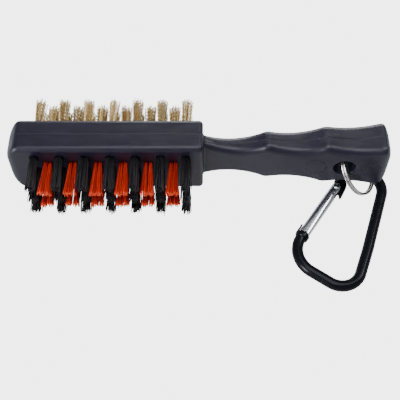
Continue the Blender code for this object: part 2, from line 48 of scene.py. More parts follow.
HEAD_EDGE_RADIUS, HEAD_END_RADIUS, HEAD_DOME_DEPTH, HEAD_BOW_DEPTH = 0.0028, 0.002, 0.0062, 0.0032
DOME_BLEND, BOW_BLEND, CUSP_ROUNDING = 0.10, 0.27, 0.0015
HANDLE_LENGTH, HANDLE_EDGE_RADIUS, HANDLE_DOME_DEPTH, HANDLE_BOW_DEPTH = 0.0896, 0.0034, 0.0039, 0.0035
NECK_THICKNESS, GRIP_THICKNESS, TAPER_LENGTH, TAPER_POWER = 0.0070, 0.0188, 0.086, 0.85
ROOT_FILLET = 0.0012
# Each finger scallop: where it starts and ends from the neck, the half width at each, and its dip
SCALLOPS = (
    (0.0, 0.0303, 0.0122, 0.01275, 0.0039),
    (0.0303, 0.0579, 0.01275, 0.0141, 0.00295),
    (0.0579, 0.0840, 0.0141, 0.0143, 0.0020),
)
PARTING_WIDTH, PARTING_DEPTH = 0.0003, 0.0002
HOLE_RADIUS, HOLE_FROM_NECK, HOLE_ROUNDING = 0.0053, 0.06725, 0.0008
# Each ejector mark: how far past the hole its middle is, and its radius
EJECTOR_MARKS = ((-0.0136, 0.0050), (0.0126, 0.0046))

COLUMNS, COLUMN_PITCH, FIRST_COLUMN_X, ROW_PITCH = 13, 0.01184, -0.03187, 0.00465
TUFT_HOLE_RADIUS, TUFT_HOLE_DEPTH, TUFT_ROOT_RADIUS = 0.00215, 0.0060, 0.00185
ROOT_SINK = 0.0050

RING_RADIUS, RING_WIRE_RADIUS, RING_COIL_PITCH, RING_START = 0.0147, 0.0006, 0.0013, 100.0
RING_CENTRE = Vector((0.1236, 0.00118, 0.00549))
RING_AXIS = Vector((0.7591, -0.1895, 0.6228)).normalized()

BAR_RADIUS, GATE_ANGLE, GATE_LENGTH, GATE_RADIUS = 0.0027, math.radians(-123.84), 0.0313, 0.0026
NOSE_GAP, HINGE_END, NOSE_RADIUS, NOSE_LENGTH = 0.0004, 0.0030, 0.0032, 0.0026
LIP_THICKNESS, LIP_WIDTH, LIP_REACH, FIT_GAP = 0.0006, 0.0030, 0.0034, 0.0003
SLOT_HALF_WIDTH, SLOT_DEPTH, TONGUE_HALF_THICKNESS = 0.00115, 0.0065, 0.00085
BORE_RADIUS, BORE_END = 0.0013, 0.0192
RIVET_RADIUS, RIVET_HEAD_RADIUS, RIVET_SEAT = 0.0008, 0.0017, 0.0021
BRUSH_LEAN, CARABINER_LEAN = math.radians(2.3), math.radians(2.2)

# The floor lies below the part, which doesn't rest on it: at the joints' limits the clip swings 6 mm
# below the part's underside, and a floor there would hide it
FLOOR_DROP, FLOOR_HALF_SIZE, BACKDROP_GLOW = 0.011, 60.0, 4.5
EDGE_ANGLE = math.radians(40.0)
QUARTER_TURN_X = Matrix.Rotation(math.pi / 2.0, 4, "X")

HEAD_TIP_X = NECK_X - HEAD_LENGTH
HANDLE_TIP_X = NECK_X + HANDLE_LENGTH
MID_Z = HEAD_WIDTH / 2.0
HOLE_X = NECK_X + HOLE_FROM_NECK
JOINTS = {joint["name"]: joint for joint in frame["record"]["behaviour"]["joints"]}


def brush_matrix():
    """From the brush frame to the object's frame, found from where the ring's hole is."""
    hole = Vector(JOINTS["ring_swing"]["pos_m"])
    lean = Matrix.Rotation(-BRUSH_LEAN, 4, "Y")
    return Matrix.Translation(hole) @ lean @ Matrix.Translation((-HOLE_X, 0.0, -MID_Z))


BRUSH = brush_matrix()
CLIP = Matrix.Translation(JOINTS["gate_open"]["pos_m"]) @ Matrix.Rotation(CARABINER_LEAN, 4, "X")
GATE_TURN = Matrix.Rotation(GATE_ANGLE, 4, "Z")
ALONG_GATE = GATE_TURN @ Matrix.Rotation(math.pi / 2.0, 4, "Y")


# ---------------------------------------------------------------- node materials


class Shader:
    """A material under construction, with short calls for its nodes and links."""

    def __init__(self, name, colour, roughness, metallic=0.0):
        self.material = bpy.data.materials.new(name)
        self.material.use_nodes = True
        self.tree = self.material.node_tree
        self.surface = self.tree.nodes["Principled BSDF"]
        self.set(self.surface, "Base Color", (*colour, 1.0))
        self.set(self.surface, "Roughness", roughness)
        self.set(self.surface, "Metallic", metallic)

    def set(self, node, socket, value):
        node.inputs[socket].default_value = value

    def node(self, kind, **settings):
        node = self.tree.nodes.new(kind)
        for key, value in settings.items():
            setattr(node, key, value)
        return node

    def link(self, source, output, target, socket):
        self.tree.links.new(source.outputs[output], target.inputs[socket])

    def noise(self, scale, detail=3.0, rough=0.55, stretch=(1.0, 1.0, 1.0)):
        place = self.node("ShaderNodeTexCoord")
        mapping = self.node("ShaderNodeMapping")
        mapping.inputs["Scale"].default_value = stretch
        noise = self.node("ShaderNodeTexNoise")
        self.link(place, "Object", mapping, "Vector")
        self.link(mapping, "Vector", noise, "Vector")
        self.set(noise, "Scale", scale)
        self.set(noise, "Detail", detail)
        self.set(noise, "Roughness", rough)
        return noise

    def ramp(self, source, output, stops):
        ramp = self.node("ShaderNodeValToRGB")
        elements = ramp.color_ramp.elements
        while len(elements) < len(stops):
            elements.new(0.5)
        for element, (position, colour) in zip(elements, stops):
            element.position = position
            element.color = (*colour, 1.0) if len(colour) == 3 else colour
        self.link(source, output, ramp, "Fac")
        return ramp

    def grey_range(self, source, output, low, high, start=0.3, end=0.7):
        spread = self.node("ShaderNodeMapRange")
        self.link(source, output, spread, "Value")
        for socket, value in (("From Min", start), ("From Max", end), ("To Min", low), ("To Max", high)):
            self.set(spread, socket, value)
        return spread

    def bump(self, source, output, strength, distance, below=None):
        bump = self.node("ShaderNodeBump")
        self.set(bump, "Strength", strength)
        self.set(bump, "Distance", distance)
        self.link(source, output, bump, "Height")
        if below is not None:
            self.link(below, "Normal", bump, "Normal")
        self.link(bump, "Normal", self.surface, "Normal")
        return bump

    def attribute(self, name):
        return self.node("ShaderNodeAttribute", attribute_name=name)


def charcoal_plastic():
    """Satin blue-black moulding: fine grain, faint flow variation, and patches rubbed smoother."""
    s = Shader("charcoal_moulding", (0.03, 0.03, 0.042), 0.4)
    s.set(s.surface, "Specular IOR Level", 0.5)
    cloud = s.noise(90.0, 4.0)
    tone = s.ramp(cloud, "Fac", [(0.3, (0.0080, 0.0070, 0.0170)), (0.7, (0.0112, 0.0100, 0.0222))])
    s.link(tone, "Color", s.surface, "Base Color")
    rub = s.noise(420.0, 5.0, 0.7, (0.25, 1.0, 1.0))
    s.link(s.grey_range(rub, "Fac", 0.30, 0.44), "Result", s.surface, "Roughness")
    grain = s.noise(5200.0, 2.0)
    fine = s.bump(grain, "Fac", 0.10, 0.00006)
    s.bump(s.noise(160.0, 2.0), "Fac", 0.04, 0.0003, fine)
    return s.material


def nylon(name, dark, light, roughness, tip):
    """Drawn filament: each one a little lighter or darker, its cut end paler, faint draw lines."""
    s = Shader(name, light, roughness)
    s.set(s.surface, "Specular IOR Level", 0.55)
    tone = s.attribute("tone")
    shade = s.ramp(tone, "Fac", [(0.0, dark), (1.0, light)])
    along = s.attribute("along")
    ends = s.grey_range(along, "Fac", 0.0, 1.0, 0.94, 1.0)
    mix = s.node("ShaderNodeMix", data_type="RGBA")
    s.link(ends, "Result", mix, 0)
    s.link(shade, "Color", mix, 6)
    mix.inputs[7].default_value = (*tip, 1.0)
    s.link(mix, 2, s.surface, "Base Color")
    shine = s.grey_range(tone, "Fac", roughness - 0.06, roughness + 0.10, 0.0, 1.0)
    s.link(shine, "Result", s.surface, "Roughness")
    s.bump(s.noise(1500.0, 3.0, 0.6, (1.0, 0.12, 1.0)), "Fac", 0.25, 0.0001)
    return s.material


def brass_wire():
    """Crimped drawn brass: each wire has its own tone, from dull brown to pale and bright."""
    s = Shader("crimped_brass", (0.72, 0.55, 0.32), 0.32, 0.85)
    tone = s.attribute("tone")
    shade = s.ramp(tone, "Fac", [
        (0.0, (0.14, 0.08, 0.025)), (0.3, (0.50, 0.34, 0.13)),
        (0.65, (0.82, 0.61, 0.27)), (1.0, (0.96, 0.87, 0.62))])
    s.link(shade, "Color", s.surface, "Base Color")
    s.link(s.grey_range(tone, "Fac", 0.42, 0.24, 0.0, 1.0), "Result", s.surface, "Roughness")
    s.bump(s.noise(2600.0, 2.0), "Fac", 0.2, 0.00006)
    return s.material


def nickel():
    """Bright nickel plate with a fine grain and duller, darker patches."""
    s = Shader("nickel_plate", (0.74, 0.71, 0.67), 0.17, 1.0)
    haze = s.noise(260.0, 4.0)
    tone = s.ramp(haze, "Fac", [(0.3, (0.62, 0.59, 0.55)), (0.7, (0.80, 0.78, 0.75))])
    s.link(tone, "Color", s.surface, "Base Color")
    s.link(s.grey_range(haze, "Fac", 0.12, 0.30), "Result", s.surface, "Roughness")
    s.bump(s.noise(2800.0, 4.0, 0.7), "Fac", 0.12, 0.00005)
    return s.material


def black_anodised():
    """Glossy black anodised bar, with slight orange peel and greyer, worn patches."""
    s = Shader("black_anodised_bar", (0.008, 0.008, 0.010), 0.25)
    s.set(s.surface, "Specular IOR Level", 0.16)
    wear = s.noise(330.0, 6.0, 0.75)
    tone = s.ramp(wear, "Fac", [
        (0.0, (0.003, 0.003, 0.005)), (0.6, (0.005, 0.005, 0.008)), (0.8, (0.011, 0.011, 0.016))])
    s.link(tone, "Color", s.surface, "Base Color")
    s.link(s.grey_range(wear, "Fac", 0.16, 0.26), "Result", s.surface, "Roughness")
    s.bump(s.noise(700.0, 2.0), "Fac", 0.03, 0.0001)
    return s.material


def bright_aluminium():
    """Polished tube: bright, with fine draw lines along it."""
    s = Shader("polished_aluminium", (0.83, 0.84, 0.88), 0.2, 1.0)
    lines = s.noise(1500.0, 3.0, 0.6)
    along = lines.inputs["Vector"].links[0].from_node
    along.vector_type = "TEXTURE"
    along.inputs["Rotation"].default_value = (0.0, 0.0, GATE_ANGLE)
    along.inputs["Scale"].default_value = (40.0, 1.0, 1.0)
    tone = s.ramp(lines, "Fac", [(0.3, (0.74, 0.75, 0.80)), (0.7, (0.90, 0.91, 0.94))])
    s.link(tone, "Color", s.surface, "Base Color")
    s.link(s.grey_range(lines, "Fac", 0.13, 0.24), "Result", s.surface, "Roughness")
    s.bump(lines, "Fac", 0.04, 0.00004)
    return s.material


def spring_steel():
    """Grey drawn wire, hazy rather than bright."""
    s = Shader("spring_steel", (0.45, 0.44, 0.43), 0.3, 1.0)
    haze = s.noise(900.0, 3.0)
    s.link(s.grey_range(haze, "Fac", 0.22, 0.42), "Result", s.surface, "Roughness")
    s.bump(haze, "Fac", 0.1, 0.00004)
    return s.material


# ---------------------------------------------------------------- mesh helpers


def new_object(name, data):
    item = bpy.data.objects.new(name, data)
    bpy.context.scene.collection.objects.link(item)
    return item


def add_piece(name, mesh, material, body, nodes, matrix):
    """A finished piece: placed, riding on its body, standing for its CAD nodes."""
    mesh.transform(matrix)
    mesh.materials.clear()
    mesh.materials.append(material)
    piece = new_object(name, mesh)
    bpy.context.view_layer.update()
    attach(piece, body)
    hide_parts(*nodes)
    return piece


def plain_mesh(work, name):
    """The finished mesh of a bmesh, which is freed."""
    mesh = bpy.data.meshes.new(name)
    work.to_mesh(mesh)
    work.free()
    return mesh


def closed_mesh(work, name):
    bmesh.ops.recalc_face_normals(work, faces=work.faces)
    return plain_mesh(work, name)


def shade_round(mesh, angle):
    mesh.shade_smooth()
    mesh.set_sharp_from_angle(angle=angle)


def mesh_of(work, name, smooth_degrees=35.0):
    mesh = plain_mesh(work, name)
    shade_round(mesh, math.radians(smooth_degrees))
    return mesh


def loft(work, loops):
    """A closed skin through loops of equal length; returns its rings of vertices."""
    rings = [[work.verts.new(point) for point in loop] for loop in loops]
    count = len(rings[0])
    for near, far in zip(rings, rings[1:]):
        for i in range(count):
            j = (i + 1) % count
            work.faces.new((near[i], near[j], far[j], far[i]))
    work.faces.new(list(reversed(rings[0])))
    work.faces.new(rings[-1])
    return rings


def tube(work, points, radii, sides):
    """A closed tube through points, its section carried along without twist."""
    normal = None
    loops = []
    last = len(points) - 1
    for i, point in enumerate(points):
        ahead = (points[min(i + 1, last)] - points[max(i - 1, 0)]).normalized()
        if normal is None:
            normal = ahead.orthogonal().normalized()
        normal = (normal - ahead * normal.dot(ahead)).normalized()
        across = ahead.cross(normal)
        loop = []
        for side in range(sides):
            angle = 2.0 * math.pi * side / sides
            loop.append(point + (normal * math.cos(angle) + across * math.sin(angle)) * radii[i])
        loops.append(loop)
    return loft(work, loops)


def lathe(work, profile, steps):
    """Turns (radius, height) points round Z; points on the axis close the shape."""
    loops = []
    for radius, height in profile:
        if radius == 0.0:
            loops.append([work.verts.new((0.0, 0.0, height))])
            continue
        loop = []
        for step in range(steps):
            angle = 2.0 * math.pi * step / steps
            loop.append(work.verts.new((radius * math.cos(angle), radius * math.sin(angle), height)))
        loops.append(loop)
    for upper, lower in zip(loops, loops[1:]):
        for i in range(steps):
            j = (i + 1) % steps
            if len(upper) == 1:
                work.faces.new((upper[0], lower[i], lower[j]))
            elif len(lower) == 1:
                work.faces.new((upper[i], lower[0], upper[j]))
            else:
                work.faces.new((upper[i], lower[i], lower[j], upper[j]))


def lathe_mesh(name, profile, steps):
    work = bmesh.new()
    lathe(work, profile, steps)
    bmesh.ops.recalc_face_normals(work, faces=work.faces)
    return mesh_of(work, name)


def cylinders(name, places, segments):
    """One mesh of separate cylinders, each given by its place, radius and length."""
    work = bmesh.new()
    for matrix, radius, length in places:
        bmesh.ops.create_cone(
            work, cap_ends=True, segments=segments, radius1=radius, radius2=radius,
            depth=length, matrix=matrix)
    return plain_mesh(work, name)


def box_mesh(name, place, size):
    work = bmesh.new()
    bmesh.ops.create_cube(work, size=1.0, matrix=place @ Matrix.Diagonal((*size, 1.0)))
    return plain_mesh(work, name)


def combine(mesh, cutters, operation="DIFFERENCE"):
    """The mesh with each cutter mesh taken away from it, or joined to it."""
    target = new_object("combine_target", mesh)
    helpers = []
    for cutter_mesh in cutters:
        cutter = new_object("combine_cutter", cutter_mesh)
        modifier = target.modifiers.new("combine", "BOOLEAN")
        modifier.operation = operation
        modifier.object = cutter
        modifier.solver = "EXACT"
        helpers.append(cutter)
    bpy.context.view_layer.update()
    graph = bpy.context.evaluated_depsgraph_get()
    made = bpy.data.meshes.new_from_object(target.evaluated_get(graph))
    for helper in (target, *helpers):
        bpy.data.objects.remove(helper)
    return made


def bevelled(mesh, width):
    """The mesh with its sharp edges rounded."""
    item = new_object("bevel_target", mesh)
    modifier = item.modifiers.new("bevel", "BEVEL")
    modifier.width = width
    modifier.segments = 2
    modifier.limit_method = "ANGLE"
    modifier.angle_limit = EDGE_ANGLE
    bpy.context.view_layer.update()
    made = bpy.data.meshes.new_from_object(item.evaluated_get(bpy.context.evaluated_depsgraph_get()))
    bpy.data.objects.remove(item)
    shade_round(made, EDGE_ANGLE)
    return made


def weigh_normals(piece):
    weight = piece.modifiers.new("flat faces stay flat", "WEIGHTED_NORMAL")
    weight.keep_sharp = True
    weight.weight = 60


# ---------------------------------------------------------------- brush body


def smooth_min(a, b, blend):
    """The smaller of two values, with the step from one to the other rounded over blend."""
    mix = max(blend - abs(a - b), 0.0) / blend
    return min(a, b) - mix * mix * blend * 0.25


def dome_half(depth, dome_depth, half, blend):
    """Half size of an end at a depth from its tip, along an arc that reaches half at dome_depth."""
    if depth >= 2.0 * dome_depth:
        return half
    radius = (half * half + dome_depth * dome_depth) / (2.0 * dome_depth)
    arc = math.sqrt(max(2.0 * radius * depth - depth * depth, 0.0))
    return min(smooth_min(arc, half, blend * half), half)


def scallop_half_width(along):
    """Half the handle's width at a distance from the neck, dipping in an arc at each finger."""
    for start, end, half_start, half_end, dip in SCALLOPS:
        if along <= end:
            span = end - start
            radius = (span * span / 4.0 + dip * dip) / (2.0 * dip)
            off = along - (start + end) / 2.0
            chord = half_start + (half_end - half_start) * (along - start) / span
            return chord - (math.sqrt(radius * radius - off * off) - (radius - dip))
    return SCALLOPS[-1][3]


def rounded_half_width(along, samples=15):
    """The scalloped half width averaged over a short stretch, so that its cusps are round."""
    total = 0.0
    for sample in range(samples):
        offset = CUSP_ROUNDING * (2.0 * sample / (samples - 1) - 1.0)
        total += scallop_half_width(max(along + offset, 0.0))
    return total / samples


def handle_section(along):
    """Half thickness, half width and corner radius of the handle at a distance from the neck."""
    grown = (min(along, TAPER_LENGTH) / TAPER_LENGTH) ** TAPER_POWER
    half_y = (NECK_THICKNESS + (GRIP_THICKNESS - NECK_THICKNESS) * grown) / 2.0
    return half_y, rounded_half_width(along), min(HANDLE_EDGE_RADIUS, 0.72 * half_y)


def dome_depths(reach, count=30):
    """Depths from a tip, close together near it."""
    return [0.00005 + reach * (step / count) ** 2 for step in range(count + 1)]


def body_stations():
    """(x, half thickness, half width, corner radius) from the head's tip to the handle's."""
    half_y, half_z = HEAD_THICKNESS / 2.0, HEAD_WIDTH / 2.0
    for depth in dome_depths(2.0 * HEAD_DOME_DEPTH):
        y = dome_half(depth, HEAD_BOW_DEPTH, half_y, BOW_BLEND)
        z = dome_half(depth, HEAD_DOME_DEPTH, half_z, DOME_BLEND)
        yield HEAD_TIP_X + depth, y, z, min(HEAD_EDGE_RADIUS, 0.8 * y)
    corner_angles = [math.radians(11.25 * step) for step in range(9)]
    for angle in corner_angles:
        inset = HEAD_END_RADIUS * (1.0 - math.cos(angle))
        x = NECK_X - HEAD_END_RADIUS * (1.0 - math.sin(angle))
        yield x, half_y - inset, half_z - inset, max(HEAD_EDGE_RADIUS - inset, 0.0006)
    for angle in corner_angles:
        along = ROOT_FILLET * (1.0 - math.cos(angle)) + 0.000001
        flare = ROOT_FILLET * (1.0 - math.sin(angle))
        y, z, radius = handle_section(along)
        yield NECK_X + along, y + flare, z + flare, radius + flare
    end = HANDLE_LENGTH - 2.0 * HANDLE_DOME_DEPTH - 0.0002
    steps = 110
    for step in range(1, steps + 1):
        along = ROOT_FILLET + (end - ROOT_FILLET) * step / steps
        yield (NECK_X + along, *handle_section(along))
    for depth in reversed(dome_depths(2.0 * HANDLE_DOME_DEPTH)):
        y_full, z_full, radius = handle_section(HANDLE_LENGTH - depth)
        y = dome_half(depth, HANDLE_BOW_DEPTH, y_full, BOW_BLEND)
        z = dome_half(depth, HANDLE_DOME_DEPTH, z_full, DOME_BLEND)
        yield HANDLE_TIP_X - depth, y, z, min(radius, 0.8 * y)


def body_loop(x, half_y, half_z, radius, corner_steps=8):
    """Rounded rectangle with the mould's parting groove along the middle of both long sides."""
    groove = min(1.0, half_y / 0.003)
    loop = []
    for corner, (side_y, side_z) in enumerate(((1, 1), (-1, 1), (-1, -1), (1, -1))):
        for step in range(corner_steps + 1):
            angle = math.radians(90.0 * corner + 90.0 * step / corner_steps)
            y = side_y * (half_y - radius) + radius * math.cos(angle)
            z = side_z * (half_z - radius) + radius * math.sin(angle)
            loop.append(Vector((x, y, MID_Z + z)))
        if corner in (0, 2):
            for off, depth in ((1.0, 0.0), (0.0, PARTING_DEPTH), (-1.0, 0.0)):
                y = side_y * off * PARTING_WIDTH * groove
                loop.append(Vector((x, y, MID_Z + side_z * (half_z - depth * groove))))
    return loop


def tuft_columns():
    """(index, x, rows) of each column: three tufts and two by turns."""
    for index in range(COLUMNS):
        x = FIRST_COLUMN_X + COLUMN_PITCH / 2.0 * index
        yield index, x, (0, 2, 4) if index % 2 == 0 else (1, 3)


def row_z(row):
    return MID_Z + (row - 2.0) * ROW_PITCH


def hole_cutter():
    """A reel shape that cuts the ring's hole and rounds both its rims."""
    half = handle_section(HOLE_FROM_NECK)[0]
    past = 0.002
    profile = [(0.0, half + past), (HOLE_RADIUS + HOLE_ROUNDING + past, half + past)]
    profile.append((HOLE_RADIUS + HOLE_ROUNDING + past, half + 0.0006))
    for step in range(7):
        angle = math.radians(15.0 * step)
        profile.append((
            HOLE_RADIUS + HOLE_ROUNDING * (1.0 - math.sin(angle)),
            half + 0.0002 - HOLE_ROUNDING * (1.0 - math.cos(angle))))
    profile += [(x, -z) for x, z in reversed(profile)]
    mesh = lathe_mesh("hole_cutter", profile, 64)
    mesh.transform(Matrix.Translation((HOLE_X, 0.0, MID_Z)) @ QUARTER_TURN_X)
    return mesh


def ejector_cutter(offset, radius):
    """A thin ring groove left by an ejector pin beside the hole."""
    work = bmesh.new()
    half = handle_section(HOLE_FROM_NECK + offset)[0]
    wide, deep, steps = 0.0003, 0.00026, 72
    rings = []
    for r, z in ((radius - wide, 0.001), (radius + wide, 0.001), (radius, -deep)):
        loop = []
        for step in range(steps):
            angle = 2.0 * math.pi * step / steps
            loop.append(work.verts.new((r * math.cos(angle), r * math.sin(angle), z)))
        rings.append(loop)
    for upper, lower in zip(rings, rings[1:] + rings[:1]):
        for i in range(steps):
            j = (i + 1) % steps
            work.faces.new((upper[i], upper[j], lower[j], lower[i]))
    mesh = closed_mesh(work, "ejector_cutter")
    back = 0.002
    slope = math.atan((half - handle_section(HOLE_FROM_NECK + offset - back)[0]) / back)
    turn = Matrix.Rotation(-slope, 4, "Z") @ QUARTER_TURN_X
    mesh.transform(Matrix.Translation((HOLE_X + offset, -half, MID_Z)) @ turn)
    return mesh


def make_body(material):
    work = bmesh.new()
    loft(work, [body_loop(*station) for station in body_stations()])
    skin = closed_mesh(work, "body_skin")
    length = TUFT_HOLE_DEPTH + 0.002
    middle = HEAD_THICKNESS / 2.0 - TUFT_HOLE_DEPTH + length / 2.0
    places = []
    for _, x, rows in tuft_columns():
        for row in rows:
            for side in (-1.0, 1.0):
                place = Matrix.Translation((x, side * middle, row_z(row))) @ QUARTER_TURN_X
                places.append((place, TUFT_HOLE_RADIUS, length))
    cutters = [cylinders("tuft_holes", places, 24), hole_cutter()]
    cutters += [ejector_cutter(offset, radius) for offset, radius in EJECTOR_MARKS]
    mesh = combine(skin, cutters)
    shade_round(mesh, math.radians(32.0))
    body = add_piece("body_moulding", mesh, material, "brush", ["brush_body"], BRUSH)
    weigh_normals(body)


# ---------------------------------------------------------------- tufts


def packed_disc(count, radius, rng):
    """Points spread evenly over a disc, each with a little jitter."""
    golden = math.pi * (3.0 - math.sqrt(5.0))
    for i in range(count):
        r = radius * math.sqrt((i + 0.5) / count)
        angle = golden * i + rng.uniform(-0.25, 0.25)
        yield Vector((r * math.cos(angle), r * math.sin(angle), 0.0))


def new_fibre_work():
    """A bmesh, with its layers for a fibre's tone and for the distance along it."""
    work = bmesh.new()
    return work, work.verts.layers.float.new("tone"), work.verts.layers.float.new("along")


def add_fibre(layers, points, radii, sides, tone):
    work, tone_layer, along_layer = layers
    rings = tube(work, points, radii, sides)
    last = len(rings) - 1
    for i, ring in enumerate(rings):
        for vertex in ring:
            vertex[tone_layer] = tone
            vertex[along_layer] = i / last


def nylon_tuft(layers, rng, style):
    """One tuft along +Z from its root plane: two halves of a folded bundle, spreading to their tips."""
    angle = rng.uniform(-style["twist"], style["twist"])
    split = Vector((math.cos(angle), math.sin(angle), 0.0))
    lean = Vector((rng.uniform(-1.0, 1.0), rng.uniform(-1.0, 1.0), 0.0)) * style["lean"]
    roots = []
    for side in (-1.0, 1.0):
        spin = Matrix.Rotation(rng.uniform(0.0, math.tau), 3, "Z")
        for place in packed_disc(style["count"] // 2, style["half_radius"], rng):
            place = spin @ place
            roots.append((side, place / style["half_radius"], place + split * side * style["apart"]))
    for side, out, root in roots:
        wander = Vector((rng.gauss(0.0, 1.0), rng.gauss(0.0, 1.0), 0.0)) * style["wander"]
        length = style["length"] + rng.uniform(-1.0, 1.0) * style["ragged"]
        spread = out * style["spread"] + split * side * style["split"] + wander + lean
        kink = Vector((rng.gauss(0.0, 1.0), rng.gauss(0.0, 1.0), 0.0)) * style["kink"]
        points, radii = [], []
        for step in range(style["steps"] + 1):
            t = step / style["steps"]
            z = -ROOT_SINK + (length + ROOT_SINK) * t
            rise = max(z, 0.0) / style["length"]
            bend = spread * rise ** style["bow"] + kink * max(rise - 0.72, 0.0) * 3.0
            points.append(root + bend + Vector((0.0, 0.0, z)))
            radii.append(style["radius"] * (1.0 - 0.25 * max(t - 0.8, 0.0) * style["taper"]))
        add_fibre(layers, points, radii, style["sides"], min(max(rng.gauss(0.5, 0.25), 0.0), 1.0))


BLACK_STYLE = {
    "count": 56, "radius": 0.00019, "length": 0.0172, "ragged": 0.0009, "half_radius": 0.00125,
    "apart": 0.0005, "twist": 3.1, "spread": 0.0010, "split": 0.0002, "wander": 0.00024, "lean": 0.00025,
    "kink": 0.00024, "bow": 0.45, "steps": 12, "sides": 6, "taper": 3.0}
ORANGE_STYLE = {
    "count": 32, "radius": 0.00025, "length": 0.0172, "ragged": 0.00035, "half_radius": 0.00070,
    "apart": 0.00108, "twist": 0.25, "spread": 0.00100, "split": 0.00056, "wander": 0.00008,
    "lean": 0.00025, "kink": 0.00006, "bow": 1.0, "steps": 8, "sides": 8, "taper": 2.0}


def make_nylon(black, orange):
    rng = random.Random(17)
    for index, x, rows in tuft_columns():
        tall = len(rows) == 3
        colour = "black" if tall else "orange"
        for row in rows:
            layers = new_fibre_work()
            nylon_tuft(layers, rng, BLACK_STYLE if tall else ORANGE_STYLE)
            spot = f"{colour}_{index + 1:02d}_{row + 1}"
            node = f"nylon_tuft_{spot}"
            place = Matrix.Translation((x, -HEAD_THICKNESS / 2.0, row_z(row))) @ QUARTER_TURN_X
            mesh = mesh_of(layers[0], node, 50.0)
            material = black if tall else orange
            add_piece(f"fibres_{spot}", mesh, material, "brush", [node], BRUSH @ place)


def brass_tuft(layers, rng, centre, spread_out):
    """Crimped wires: each a flat zigzag wave in its own direction, ragged at the tip."""
    wire, length, count = 0.00015, 0.0152, 70
    wave, height, steps = 0.0021, 0.00034, 44
    ragged, stray, stray_share, wander = 0.0011, 0.0008, 0.08, 0.00026
    lean = Vector((rng.uniform(-1.0, 1.0), rng.uniform(-1.0, 1.0), 0.0)) * 0.00025
    for root in packed_disc(count, TUFT_ROOT_RADIUS - height - wire, rng):
        angle = rng.uniform(0.0, math.tau)
        sway = Vector((math.cos(angle), math.sin(angle), 0.0))
        phase = rng.uniform(0.0, math.tau)
        own = length + rng.uniform(-1.0, 0.55) * ragged + (stray if rng.random() < stray_share else 0.0)
        spread = root / TUFT_ROOT_RADIUS * spread_out + lean
        spread += Vector((rng.gauss(0.0, 1.0), rng.gauss(0.0, 1.0), 0.0)) * wander
        points = []
        for step in range(steps + 1):
            z = -ROOT_SINK + (own + ROOT_SINK) * step / steps
            rise = max(z, 0.0) / length
            crimp = sway * height * math.sin(math.tau * z / wave + phase)
            points.append(centre + root + crimp + spread * rise ** 0.6 + Vector((0.0, 0.0, z)))
        add_fibre(layers, points, [wire] * (steps + 1), 3, min(max(rng.gauss(0.55, 0.28), 0.0), 1.0))


def make_brass(brass):
    rng = random.Random(29)
    for index, x, rows in tuft_columns():
        layers = new_fibre_work()
        for row in rows:
            spread_out = 0.0017 if len(rows) == 3 else 0.0021
            brass_tuft(layers, rng, Vector((0.0, row_z(row) - MID_Z, 0.0)), spread_out)
        away = Matrix.Rotation(-math.pi / 2.0, 4, "X") @ Matrix.Diagonal((1.0, -1.0, 1.0, 1.0))
        place = Matrix.Translation((x, HEAD_THICKNESS / 2.0, MID_Z)) @ away
        node = f"brass_tufts_{index + 1:02d}"
        mesh = mesh_of(layers[0], node, 60.0)
        name = f"wires_{index + 1:02d}"
        piece = add_piece(name, mesh, brass, "brush", [node], BRUSH @ place)
        piece.data.flip_normals()


# ---------------------------------------------------------------- split ring


def make_ring(material):
    """One wire in two flat coils, with a smooth ramp between them and its ends slightly eased."""
    side = Vector((0.0, 0.0, 1.0)).cross(RING_AXIS).normalized()
    up = RING_AXIS.cross(side)
    place = Matrix((
        (side.x, up.x, RING_AXIS.x, RING_CENTRE.x),
        (side.y, up.y, RING_AXIS.y, RING_CENTRE.y),
        (side.z, up.z, RING_AXIS.z, RING_CENTRE.z),
        (0.0, 0.0, 0.0, 1.0)))
    loops = []
    sweep, ramp_start, ramp_length = 690.0, 330.0, 30.0
    steps, sides = 276, 16
    for step in range(steps + 1):
        degrees = sweep * step / steps
        ramp = min(max((degrees - ramp_start) / ramp_length, 0.0), 1.0)
        ramp = ramp * ramp * (3.0 - 2.0 * ramp)
        level = (ramp - 0.5) * RING_COIL_PITCH
        angle = math.radians(degrees + RING_START)
        out = Vector((math.cos(angle), math.sin(angle), 0.0))
        end_in = min(step, steps - step)
        size = RING_WIRE_RADIUS * (0.86 if end_in == 0 else 0.97 if end_in == 1 else 1.0)
        loop = []
        for around in range(sides):
            turn = math.tau * around / sides
            radial, axial = math.cos(turn), math.sin(turn)
            axial = math.copysign(abs(axial) ** 0.8, axial)
            height = Vector((0.0, 0.0, level + axial * size))
            loop.append(out * (RING_RADIUS + radial * size) + height)
        loops.append(loop)
    work = bmesh.new()
    loft(work, loops)
    bmesh.ops.recalc_face_normals(work, faces=work.faces)
    mesh = mesh_of(work, "ring_coils", 50.0)
    add_piece("ring_coils", mesh, material, "ring", ["split_ring"], BRUSH @ place)


# ---------------------------------------------------------------- carabiner


def gate_point(along):
    """A point on the gate's centre line, at a distance from the rivet."""
    return Vector((along * math.cos(GATE_ANGLE), along * math.sin(GATE_ANGLE), 0.0))


def filleted_path(corners, step_angle=2.0):
    """Points of a line through corners given as (point, radius), with arcs at the corners."""
    path = [corners[0][0]]
    for (before, _), (corner, radius), (after, _) in zip(corners, corners[1:], corners[2:]):
        back = (before - corner).normalized()
        ahead = (after - corner).normalized()
        opening = back.angle(ahead)
        middle = corner + (back + ahead).normalized() * (radius / math.sin(opening / 2.0))
        first = corner + back * (radius / math.tan(opening / 2.0))
        sweep = math.pi - opening
        sign = 1.0 if back.cross(ahead).z < 0.0 else -1.0
        pieces = max(int(round(math.degrees(sweep) / step_angle)), 1)
        for step in range(pieces + 1):
            turn = Matrix.Rotation(sign * sweep * step / pieces, 4, "Z")
            path.append(middle + turn @ (first - middle))
    path.append(corners[-1][0])
    return path


